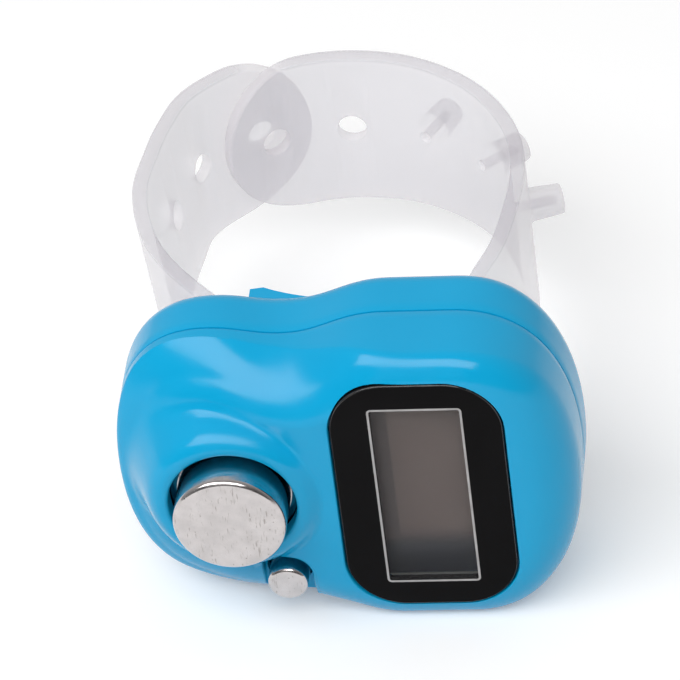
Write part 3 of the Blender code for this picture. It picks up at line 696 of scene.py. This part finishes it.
def routeFrames(points):
    lengths = [0.0]
    for near, far in zip(points, points[1:]):
        lengths.append(lengths[-1] + (far - near).xy.length)
    tangents = []
    for index in range(len(points)):
        behind = points[max(index - 1, 0)]
        ahead = points[min(index + 1, len(points) - 1)]
        tangents.append((ahead - behind).xy.normalized())
    return lengths, tangents


def along(distance, points, lengths, tangents):
    distance = min(max(distance, 0.0), lengths[-1])
    high = min(bisect.bisect_right(lengths, distance), len(lengths) - 1)
    low = high - 1
    share = (distance - lengths[low]) / (lengths[high] - lengths[low])
    forward = tangents[low].lerp(tangents[high], share).normalized()
    place = points[low].lerp(points[high], share)
    return place.xy, forward, Vector((forward.y, -forward.x)), place.z


def stadium(length, half, steps=40):
    shape = []
    for end, start in ((length - half, -90), (half, 90)):
        for step in range(steps + 1):
            turn = math.radians(start + 180 * step / steps)
            shape.append((end + half * math.cos(turn), half * math.sin(turn)))
    return shape


def laidFlat(rows):
    # For the flat strap: x runs along it, y through its thickness and z across
    return [[(x - origin.x, y - origin.y, z - origin.z) for x, y, z in row] for row in rows]


def flatStrap(length, holes, pegs):
    half = strap["thickness"] / 2
    edge = strap["edge"]
    levels = [(-half + edge * (1 - math.sin(turn)), -edge * (1 - math.cos(turn)))
              for turn in reversed(quarterTurns(5))]
    levels += [(-depth, grow) for depth, grow in reversed(levels)]
    shape = stadium(length, strap["width"] / 2)
    piece = closedGrid("softStrap", laidFlat(prismRows(shape, levels)))
    radius = strap["holeRadius"]
    hole = [(radius + wider, -half - past) for wider, past in strap["holeEdge"]]
    hole += [(radius + wider, half + past) for wider, past in reversed(strap["holeEdge"])]
    for place in holes:
        cut(piece, "holeTool", laidFlat(turnedRows((place, 0), hole, 40)))
    base = strap["pegBase"]
    tip = strap["pegTip"]
    foot = strap["pegFoot"]
    bevel = strap["pegEdge"]
    core = strap["core"]
    top = half + strap["pegLength"]
    peg = [(base + foot, 0.0), (base + foot, half - 0.02), (base + 0.12, half + 0.06),
           (base, half + foot), (tip, top - bevel), (tip - 0.07, top - 0.07),
           (tip - bevel, top), (core, top)]
    hollow = [(core + 0.2, -half - 0.2), (core + 0.12, -half), (core, -half + 0.15),
              (core, half + 2.2), (core * 0.6, half + 2.5)]
    for place in pegs:
        cut(piece, "peg", laidFlat(turnedRows((place, 0), peg, 40)), "UNION")
        cut(piece, "coreTool", laidFlat(turnedRows((place, 0), hollow, 24)))
    return piece


def bendStrap(piece, route, lengths, tangents, pegs):
    # Cross cuts let the flat faces bend, and a peg stays straight on its root
    length = lengths[-1]
    shape = bmesh.new()
    shape.from_mesh(piece.data)
    count = round(length / strap["bendStep"])
    for number in range(1, count):
        everything = shape.verts[:] + shape.edges[:] + shape.faces[:]
        bmesh.ops.bisect_plane(shape, geom=everything, dist=1e-7, plane_no=(1, 0, 0),
                               plane_co=(length * number / count * mm, 0, 0))
    bmesh.ops.triangulate(shape, faces=[face for face in shape.faces if len(face.verts) > 4])
    for vertex in shape.verts:
        place = vertex.co / mm
        root = place.x
        near = min(pegs, key=lambda peg: abs(peg - root))
        reach = math.hypot(near - root, place.z)
        if place.y > strap["thickness"] / 2 and reach < strap["pegBase"] + 0.5:
            root = near
        spot, forward, outward, lean = along(root, route, lengths, tangents)
        inwards = lean * (0.5 - place.z / strap["width"])
        flat = spot + forward * (place.x - root) + outward * (place.y - inwards)
        vertex.co = toWorld(flat.x, flat.y, place.z)
    bmesh.ops.reverse_faces(shape, faces=shape.faces)
    shape.to_mesh(piece.data)
    shape.free()


def makeStrap():
    route = smoothRoute(strapPoints(), 24)
    lengths, tangents = routeFrames(route)
    length = lengths[-1]
    pitch = strap["holePitch"]
    innerEnd = length - strap["holeInset"]
    innerHoles = strap["innerHoles"]
    holes = [strap["holeInset"] + number * pitch for number in range(strap["outerHoles"])]
    holes += [innerEnd - number * pitch for number in range(innerHoles)]
    pegs = [innerEnd - number * pitch for number in range(innerHoles, innerHoles + strap["pegs"])]
    piece = flatStrap(length, holes, pegs)
    bendStrap(piece, route, lengths, tangents, pegs)
    smoothTop(piece, 35)
    dress(piece, "case", strapMilky, "strap")
    print("strap made:", len(piece.data.polygons), "faces,", round(length, 1), "mm long")


# Buttons
countButton = dict(name="countButton", node="count_button", place=countCentre, radius=4.75,
                   front=-3.2, edge=0.5, flange=5.95, flangeFront=1.3, flangeBack=2.1, stem=2.4,
                   back=3.6)
resetButton = dict(name="resetButton", node="reset_button", place=(recess["x"], recess["buttonZ"]),
                   radius=1.7, front=0.0, edge=0.42, flange=1.7, flangeFront=3.8, flangeBack=4.2,
                   stem=1.6, back=4.28)


def makeButton(button, material):
    radius, front, edge = button["radius"], button["front"], button["edge"]
    flange, near, far = button["flange"], button["flangeFront"], button["flangeBack"]
    middle = 0.02
    profile = [(middle, front), (radius * 0.5, front), (radius - edge * 1.4, front)]
    for step in range(11):
        turn = math.radians(90 - 90 * step / 10)
        profile.append((radius - edge + edge * math.cos(turn),
                        front + edge - edge * math.sin(turn)))
    profile += [(radius, front + (near - front) * 0.5), (radius, near), (flange, near)]
    profile += [(flange, far), (button["stem"], far), (button["stem"], button["back"])]
    profile.append((middle, button["back"]))
    piece = closedGrid(button["name"], turnedRows(button["place"], profile, 128))
    smoothTop(piece, 40)
    dress(piece, button["node"], material, button["node"])
    print(button["name"], "made:", len(piece.data.polygons), "faces")


# Faceplate with its clear window
window = dict(width=7.5, height=18.5, corner=0.2, line=0.19, lineRise=0.012, lineSink=0.004,
              paneGap=0.01, paneEdge=0.03, paneBack=0.02)


def windowShape(steps=12, grow=0.0, bend=0.0):
    return roundedRectangle(window["width"] + 2 * grow, window["height"] + 2 * grow,
                            window["corner"] + bend, steps)


def makePlate():
    front = plate["front"]
    edge = plate["edge"]
    shape = roundedRectangle(plate["width"], plate["height"], plate["corner"], 24)
    levels = sorted((front + edge * (1 - math.sin(turn)), -edge * (1 - math.cos(turn)))
                    for turn in quarterTurns(5))
    frontHole, backHole = prismRows(windowShape(24), [(front, 0.0), (plate["back"], 0.0)])
    rows = prismRows(shape, levels + [(plate["back"], 0.0)])
    piece = wrapGrid("blackFaceplate", [frontHole] + rows + [backHole, frontHole])
    smoothTop(piece, 30)
    dress(piece, "case", plateBlack, "faceplate")
    piece.data.materials.append(plateEdge)
    # The rounded edge has a look of its own
    for face in piece.data.polygons:
        if -0.97 < face.normal.y < -0.03:
            face.material_index = 1


def makePane():
    # The clear window fills the faceplate's hole
    front = plate["front"] + window["paneGap"]
    pane = windowShape(grow=-window["paneGap"])
    levels = [(front, -window["paneEdge"]), (plate["front"] + 0.04, 0.0),
              (plate["back"] - window["paneBack"], 0.0)]
    glass = closedGrid("windowPane", prismRows(pane, levels))
    smoothTop(glass, 30)
    dress(glass, "case", windowClear)


def makeLine():
    # The thin pale line printed round the window
    outside = windowShape(grow=window["line"], bend=window["line"])
    inside = windowShape()
    low = plate["front"] + window["lineSink"]
    top = plate["front"] - window["lineRise"]
    rows = [[(x, depth, z) for x, z in shape]
            for shape, depth in ((outside, low), (outside, top), (inside, top), (inside, low))]
    piece = wrapGrid("windowLine", rows + [rows[0]])
    dress(piece, "case", linePrint)
    print("faceplate, window and line made")


# Materials

def setInputs(tree, node, values):
    # A value that is an output of another node is linked, and any other is set
    for label, value in values.items():
        if isinstance(value, bpy.types.NodeSocket):
            tree.links.new(value, node.inputs[label])
        else:
            node.inputs[label].default_value = value


def addNode(tree, kind, settings=None, values=None):
    node = tree.nodes.new(kind)
    for label, value in (settings or {}).items():
        setattr(node, label, value)
    setInputs(tree, node, values or {})
    return node


def combine(tree, operation, first, second):
    node = addNode(tree, "ShaderNodeMath", {"operation": operation}, {0: first, 1: second})
    return node.outputs[0]


def noise(tree, place, scale, detail, roughness=0.5):
    node = addNode(tree, "ShaderNodeTexNoise", values={
        "Vector": place, "Scale": scale, "Detail": detail, "Roughness": roughness})
    return node.outputs["Fac"]


def remap(tree, value, low, high, least=0.0, most=1.0, kind="LINEAR"):
    # The value runs from low to high, and the result from least to most
    node = addNode(tree, "ShaderNodeMapRange", {"interpolation_type": kind}, {
        "Value": value, "From Min": low, "From Max": high, "To Min": least, "To Max": most})
    return node.outputs["Result"]


def stretched(tree, place, rotation, scale):
    node = addNode(tree, "ShaderNodeMapping", values={
        "Vector": place, "Rotation": rotation, "Scale": scale})
    return node.outputs["Vector"]


def mixOver(material, mask, colour):
    # Lays a colour over the base colour where the mask says
    tree = material.node_tree
    base = tree.nodes["Principled BSDF"].inputs["Base Color"]
    below = base.links[0].from_socket if base.links else base.default_value[:]
    mix = addNode(tree, "ShaderNodeMix", {"data_type": "RGBA"},
                  {0: mask, 6: below, 7: (*colour, 1)})
    tree.links.new(mix.outputs[2], base)


def startGroup(name, inputs, outputs):
    # A node group that takes a place and some numbers, and the sockets that bring them
    group = bpy.data.node_groups.new(name, "ShaderNodeTree")
    group.interface.new_socket(name="Vector", in_out="INPUT", socket_type="NodeSocketVector")
    for way, labels in (("INPUT", inputs), ("OUTPUT", outputs)):
        for label in labels:
            group.interface.new_socket(name=label, in_out=way, socket_type="NodeSocketFloat")
    return group, group.nodes.new("NodeGroupInput").outputs


def makeSmudges():
    # Fine handling marks: a soft cloud of roughness and hair-thin scratches in the height
    inputs = ("Low", "High", "Cloud Scale", "Scratch Scale", "Scratches")
    group, given = startGroup("smudges", inputs, ("Roughness", "Height"))
    cloud = noise(group, given["Vector"], given["Cloud Scale"], 4.0, 0.6)
    cloud = remap(group, cloud, 0.35, 0.68, kind="SMOOTHSTEP")
    place = stretched(group, given["Vector"], (0.3, 0.9, 0.5), (1.0, 0.04, 0.5))
    lines = remap(group, noise(group, place, given["Scratch Scale"], 2.0), 0.66, 0.72)
    weak = combine(group, "MULTIPLY", lines, given["Scratches"])
    both = combine(group, "MAXIMUM", cloud, weak)
    rough = remap(group, both, 0.0, 1.0, given["Low"], given["High"])
    addNode(group, "NodeGroupOutput", values={"Roughness": rough, "Height": weak})
    return group


def makeScuffs():
    # Short dark scratches in three directions, gathered in patches
    group, given = startGroup("scuffs", ("Scale", "Patch Scale"), ("Mask",))
    lines = 0.0
    for turn in (0.4, 1.5, 2.6):
        place = stretched(group, given["Vector"], (0.0, turn, 0.0), (1.0, 1.0, 0.12))
        thin = remap(group, noise(group, place, given["Scale"], 2.0, 0.6), 0.63, 0.70)
        lines = combine(group, "MAXIMUM", lines, thin)
    cloud = noise(group, given["Vector"], given["Patch Scale"], 2.0)
    mask = combine(group, "MULTIPLY", lines, combine(group, "GREATER_THAN", cloud, 0.5))
    addNode(group, "NodeGroupOutput", values={"Mask": mask})
    return group


def makeSpecks():
    # Sparse small dots, as dust or moulding flecks
    group, given = startGroup("specks", ("Scale", "Size", "Share"), ("Mask",))
    cells = addNode(group, "ShaderNodeTexVoronoi", {"feature": "F1"}, {
        "Vector": given["Vector"], "Scale": given["Scale"]})
    chance = addNode(group, "ShaderNodeSeparateColor", values={"Color": cells.outputs["Color"]})
    near = combine(group, "LESS_THAN", cells.outputs["Distance"], given["Size"])
    picked = combine(group, "GREATER_THAN", chance.outputs["Red"], given["Share"])
    mask = combine(group, "MULTIPLY", near, picked)
    addNode(group, "NodeGroupOutput", values={"Mask": mask})
    return group


smudges = makeSmudges()
specks = makeSpecks()
scuffs = makeScuffs()


def plainMaterial(name, colour, other, rough, wear=(120.0, 900.0, 0.3), metallic=0.0, amount=0.5,
                  cloud=60.0, bump=0.02, speck=None, extra=None):
    # colour and other are mixed by a soft cloud. rough: lowest and highest roughness. wear: the
    # scales of its cloud and of the fine scratches, and how strong the scratches are.
    # speck: colour, scale, size, and the share of places without a speck
    material = bpy.data.materials.new(name)
    material.use_nodes = True
    tree = material.node_tree
    place = addNode(tree, "ShaderNodeTexCoord").outputs["Object"]
    marks = addNode(tree, "ShaderNodeGroup", {"node_tree": smudges}, {
        "Vector": place, "Low": rough[0], "High": rough[1], "Cloud Scale": wear[0],
        "Scratch Scale": wear[1], "Scratches": wear[2]})
    rise = addNode(tree, "ShaderNodeBump", {"invert": True}, {
        "Strength": bump, "Distance": 0.0002, "Height": marks.outputs["Height"]})
    setInputs(tree, tree.nodes["Principled BSDF"], {
        "Base Color": (*colour, 1), "Metallic": metallic, "Roughness": marks.outputs["Roughness"],
        "Normal": rise.outputs["Normal"], **(extra or {})})
    soft = noise(tree, place, cloud, 3.0)
    mixOver(material, remap(tree, soft, 0.5 - amount / 2, 0.5 + amount / 2), other)
    if speck:
        dots = addNode(tree, "ShaderNodeGroup", {"node_tree": specks}, {
            "Vector": place, "Scale": speck[1], "Size": speck[2], "Share": speck[3]})
        mixOver(material, dots.outputs["Mask"], speck[0])
    return material


def treeAndPlace(material):
    tree = material.node_tree
    return tree, tree.nodes["Texture Coordinate"].outputs["Object"]


caseBlue = plainMaterial(
    "caseBlue", (0.002, 0.35, 0.64), (0.004, 0.38, 0.68), (0.13, 0.26), (160.0, 1400.0, 0.35),
    amount=0.6, cloud=90.0, bump=0.04, speck=((0.005, 0.08, 0.13), 420.0, 0.06, 0.975),
    extra={"Specular IOR Level": 0.3})
plateBlack = plainMaterial(
    "plateBlack", (0.0030, 0.0028, 0.0032), (0.0048, 0.0044, 0.0048), (0.07, 0.25),
    (300.0, 2200.0, 0.5), cloud=150.0, bump=0.05, speck=((0.12, 0.11, 0.11), 700.0, 0.09, 0.97),
    extra={"Specular IOR Level": 0.05})
plateEdge = plainMaterial(
    "plateEdge", (0.010, 0.010, 0.011), (0.03, 0.028, 0.028), (0.12, 0.3), (900.0, 2200.0, 0.5),
    amount=0.2, cloud=1400.0, extra={"Specular IOR Level": 0.6})
strapMilky = plainMaterial(
    "strapMilky", (0.88, 0.84, 0.87), (0.83, 0.79, 0.825), (0.3, 0.48), (120.0, 500.0, 0.2),
    cloud=70.0, bump=0.03, extra={"Alpha": 0.34, "IOR": 1.45})
linePrint = plainMaterial(
    "linePrint", (0.34, 0.33, 0.33), (0.46, 0.45, 0.45), (0.35, 0.55), (900.0, 900.0, 0.2),
    amount=0.4, cloud=900.0)
windowClear = plainMaterial(
    "windowClear", (0.06, 0.06, 0.065), (0.09, 0.09, 0.09), (0.06, 0.1), (300.0, 900.0, 0.1),
    amount=0.4, cloud=300.0, extra={"Alpha": 0.16, "Specular IOR Level": 0.15})


def chromeMaterial(name, scuffed):
    material = plainMaterial(
        name, (0.62, 0.585, 0.58), (0.53, 0.50, 0.495), (0.08, 0.24), (500.0, 2400.0, 0.6),
        metallic=1.0, amount=0.4, cloud=900.0, bump=0.08,
        speck=((0.34, 0.30, 0.29), 2600.0, 0.16, 0.95))
    tree, place = treeAndPlace(material)
    lines = addNode(tree, "ShaderNodeGroup", {"node_tree": scuffs}, {
        "Vector": place, "Scale": 5200.0, "Patch Scale": 1100.0})
    mask = combine(tree, "MULTIPLY", lines.outputs["Mask"], scuffed)
    mixOver(material, mask, (0.30, 0.27, 0.25))
    return material


chromeLarge = chromeMaterial("chromeLarge", 0.7)
chromeSmall = chromeMaterial("chromeSmall", 0.6)


def paintFlangeShadow():
    # The chrome flange in the bore gets painted shadow and a painted reflection of the case's
    # blue, from just outside the button's rim
    tree, place = treeAndPlace(chromeLarge)
    axis = toWorld(collar["x"], 0, collar["z"])
    flat = addNode(tree, "ShaderNodeVectorMath", {"operation": "MULTIPLY"},
                   {0: place, 1: (1, 0, 1)})
    away = addNode(tree, "ShaderNodeVectorMath", {"operation": "DISTANCE"},
                   {0: flat.outputs[0], 1: (axis.x, 0, axis.z)})
    radius = combine(tree, "DIVIDE", away.outputs["Value"], mm)
    start = countButton["radius"]
    mixOver(chromeLarge, remap(tree, radius, start + 0.03, start + 0.09), (0.001, 0.05, 0.09))


def paintStrapEdgeShade():
    # The upper cut edge gets painted shade, a darker lavender
    tree, place = treeAndPlace(strapMilky)
    split = addNode(tree, "ShaderNodeSeparateXYZ", values={"Vector": place})
    top = toWorld(0, 0, strap["width"] / 2).z
    edge = remap(tree, split.outputs["Z"], top - 0.5 * mm, top - 0.05 * mm, most=0.8)
    mixOver(strapMilky, edge, (0.42, 0.39, 0.45))


def filmMaterial():
    # The display's grey film, with painted shadow: darker and bluer in a band along its left side
    # and its foot
    film = dict(side=(1.75, 1.35), foot=(5.4, 2.6), sideShadowShare=0.5, shadowTint=(0.042, 0.044, 0.055))
    material = plainMaterial("displayFilm", (0.222, 0.172, 0.158), (0.200, 0.154, 0.142),
                             (0.34, 0.4), (200.0, 900.0, 0.1), amount=0.6, cloud=120.0)
    tree, place = treeAndPlace(material)
    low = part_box("lcd_polariser")[0]
    split = addNode(tree, "ShaderNodeSeparateXYZ", values={"Vector": place})
    side = remap(tree, split.outputs["X"], *(low.x + reach * mm for reach in film["side"]),
                 most=film["sideShadowShare"], kind="SMOOTHSTEP")
    foot = remap(tree, split.outputs["Z"], *(low.z + reach * mm for reach in film["foot"]),
                 kind="SMOOTHSTEP")
    mixOver(material, combine(tree, "MAXIMUM", side, foot), film["shadowTint"])
    return material


paintFlangeShadow()
paintStrapEdgeShade()

# Nodes, material, colour, other colour, lowest and highest roughness, and what else it needs
clear = dict(extra={"Alpha": 0.35})
insideLooks = (
    (("lcd_front_glass",), "frontGlass", (0.55, 0.6, 0.6), (0.5, 0.56, 0.57), (0.03, 0.1), clear),
    (("lcd_back_glass",), "backGlass", (0.5, 0.56, 0.57), (0.45, 0.52, 0.54), (0.03, 0.1), clear),
    (("lcd_reflector",), "silverSheet", (0.55, 0.56, 0.54), (0.48, 0.49, 0.47), (0.3, 0.45), {}),
    (("lcd_frame",), "whiteFrame", (0.78, 0.78, 0.75), (0.72, 0.72, 0.7), (0.4, 0.55), {}),
    (("zebra_strip",), "zebraRubber", (0.03, 0.03, 0.03), (0.09, 0.09, 0.09), (0.6, 0.8),
     dict(amount=0.1, cloud=2500.0)),
    (("circuit_board",), "boardGreen", (0.02, 0.17, 0.06), (0.03, 0.26, 0.10), (0.25, 0.45),
     dict(amount=0.08, cloud=500.0)),
    (("chip_blob",), "chipResin", (0.008, 0.008, 0.009), (0.014, 0.014, 0.014), (0.2, 0.4), {}),
    (("oscillator_resistor",), "resistorBlack", (0.012, 0.012, 0.013), (0.02, 0.02, 0.02),
     (0.3, 0.5), {}),
    (("supply_capacitor",), "capacitorTan", (0.42, 0.30, 0.17), (0.36, 0.25, 0.14), (0.4, 0.55),
     {}),
    (("count_dome", "reset_dome"), "cupGrey", (0.42, 0.44, 0.45), (0.36, 0.38, 0.39),
     (0.5, 0.65), {}),
    (("button_cell",), "cellSteel", (0.72, 0.72, 0.70), (0.62, 0.62, 0.61), (0.15, 0.35),
     dict(metallic=1.0)),
    (("battery_clip", "battery_contact"), "contactSteel", (0.70, 0.66, 0.55),
     (0.62, 0.57, 0.46), (0.2, 0.4), dict(metallic=1.0)),
    (("case_screw_left", "case_screw_right", "board_screw_left", "board_screw_right"),
     "screwSteel", (0.45, 0.45, 0.46), (0.32, 0.32, 0.33), (0.22, 0.45),
     dict(metallic=1.0, amount=0.3, cloud=900.0)),
)


def dressInside():
    looks = {"lcd_polariser": filmMaterial()}
    for nodes, name, colour, other, rough, more in insideLooks:
        material = plainMaterial(name, colour, other, rough, **more)
        looks.update({node: material for node in nodes})
    for node, material in looks.items():
        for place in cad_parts[node].material_slots:
            place.material = material
    print("inner solids dressed")


# Floor and lights
studio = dict(floor=0.84, floorSize=6, floorGlow=0.24, skyFront=0.12, skyBack=0.6, skyFade=0.7,
              aim=(-6, 4, 6))
lamps = dict(
    overheadBox=dict(direction=(-0.22, -0.52, 0.82), size=(0.75, 0.3), power=3.2, distance=0.55),
    frontFill=dict(direction=(-0.2, -0.85, 0.4), size=(0.5, 0.5), power=0.2, distance=0.8),
)


def makeFloor():
    deselect()
    bpy.ops.mesh.primitive_plane_add(size=studio["floorSize"], location=(0, 0, 0))
    floor = bpy.context.active_object
    floor.name = "floor"
    material = bpy.data.materials.new("paleFloor")
    material.use_nodes = True
    tree = material.node_tree
    # The floor glows a little for the camera, in mirrors and through clear pieces
    path = addNode(tree, "ShaderNodeLightPath").outputs
    seen = combine(tree, "MAXIMUM", path["Is Camera Ray"], path["Is Glossy Ray"])
    seen = combine(tree, "MAXIMUM", seen, path["Is Transmission Ray"])
    grey = studio["floor"]
    setInputs(tree, tree.nodes["Principled BSDF"], {
        "Base Color": (grey, grey, grey, 1), "Roughness": 0.9, "Specular IOR Level": 0.0,
        "Emission Color": (1, 1, 1, 1),
        "Emission Strength": combine(tree, "MULTIPLY", seen, studio["floorGlow"])})
    floor.data.materials.append(material)


def makeSky():
    # Darker behind the camera than behind the counter, so that bright metal shows an edge
    world = bpy.data.worlds.new("studio")
    bpy.context.scene.world = world
    world.use_nodes = True
    sky = world.node_tree
    around = addNode(sky, "ShaderNodeTexCoord").outputs["Generated"]
    split = addNode(sky, "ShaderNodeSeparateXYZ", values={"Vector": around})
    strength = remap(sky, split.outputs["Y"], -studio["skyFade"], studio["skyFade"],
                     studio["skyFront"], studio["skyBack"])
    setInputs(sky, sky.nodes["Background"], {"Color": (1, 1, 1, 1), "Strength": strength})


def makeLamps():
    for name, lamp in lamps.items():
        data = bpy.data.lights.new(name, "AREA")
        data.shape = "RECTANGLE"
        data.size, data.size_y = lamp["size"]
        data.energy = lamp["power"]
        light = bpy.data.objects.new(name, data)
        bpy.context.scene.collection.objects.link(light)
        direction = Vector(lamp["direction"])
        light.location = toWorld(*studio["aim"]) + direction.normalized() * lamp["distance"]
        light.rotation_euler = direction.to_track_quat("Z", "Y").to_euler()
    bpy.context.scene.view_settings.view_transform = "Standard"
    print("floor and lights set")


setCamera()
makeFront()
makeBack()
makeStrap()
makeButton(countButton, chromeLarge)
makeButton(resetButton, chromeSmall)
makePlate()
makePane()
makeLine()
dressInside()
makeFloor()
makeSky()
makeLamps()
